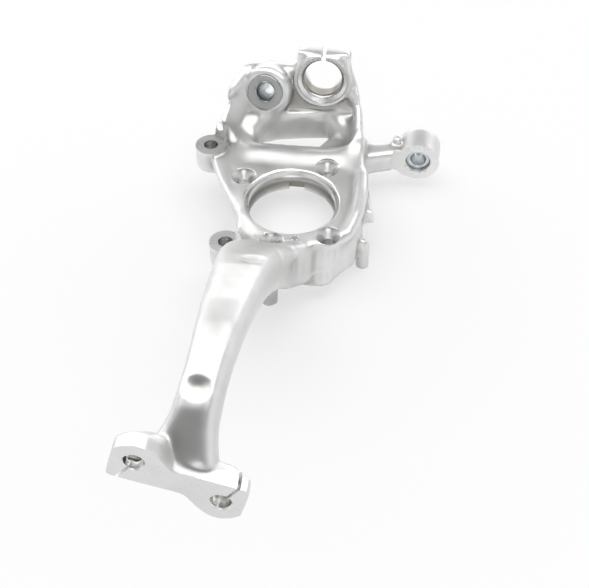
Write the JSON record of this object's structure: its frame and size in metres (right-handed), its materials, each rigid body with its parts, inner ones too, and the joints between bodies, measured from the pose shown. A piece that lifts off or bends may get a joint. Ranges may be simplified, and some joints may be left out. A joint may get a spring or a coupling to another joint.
{
  "type": "steering knuckle",
  "caption": "Forged aluminium steering knuckle with a bored hub flange, a tall gooseneck to a split pin head, a steering arm and a lower joint clamp.",
  "frame": {"origin": "centre of the bearing bore in the plane of the outboard bearing seat", "axes": "+Z along the bearing bore towards the inboard side, -Y up the neck to its pin head, +X towards the steering arm"},
  "size_m": [0.2529, 0.6145, 0.2041],
  "materials": {
    "forging": "satin, blasted and washed after forging, with bright machined faces",
    "bush_steel": "turned"
  },
  "bodies": {
    "root": {"knuckle_forging": "forging", "lower_arm_taper_bush": "bush_steel", "tie_rod_taper_bush": "bush_steel"}
  },
  "joints": []
}
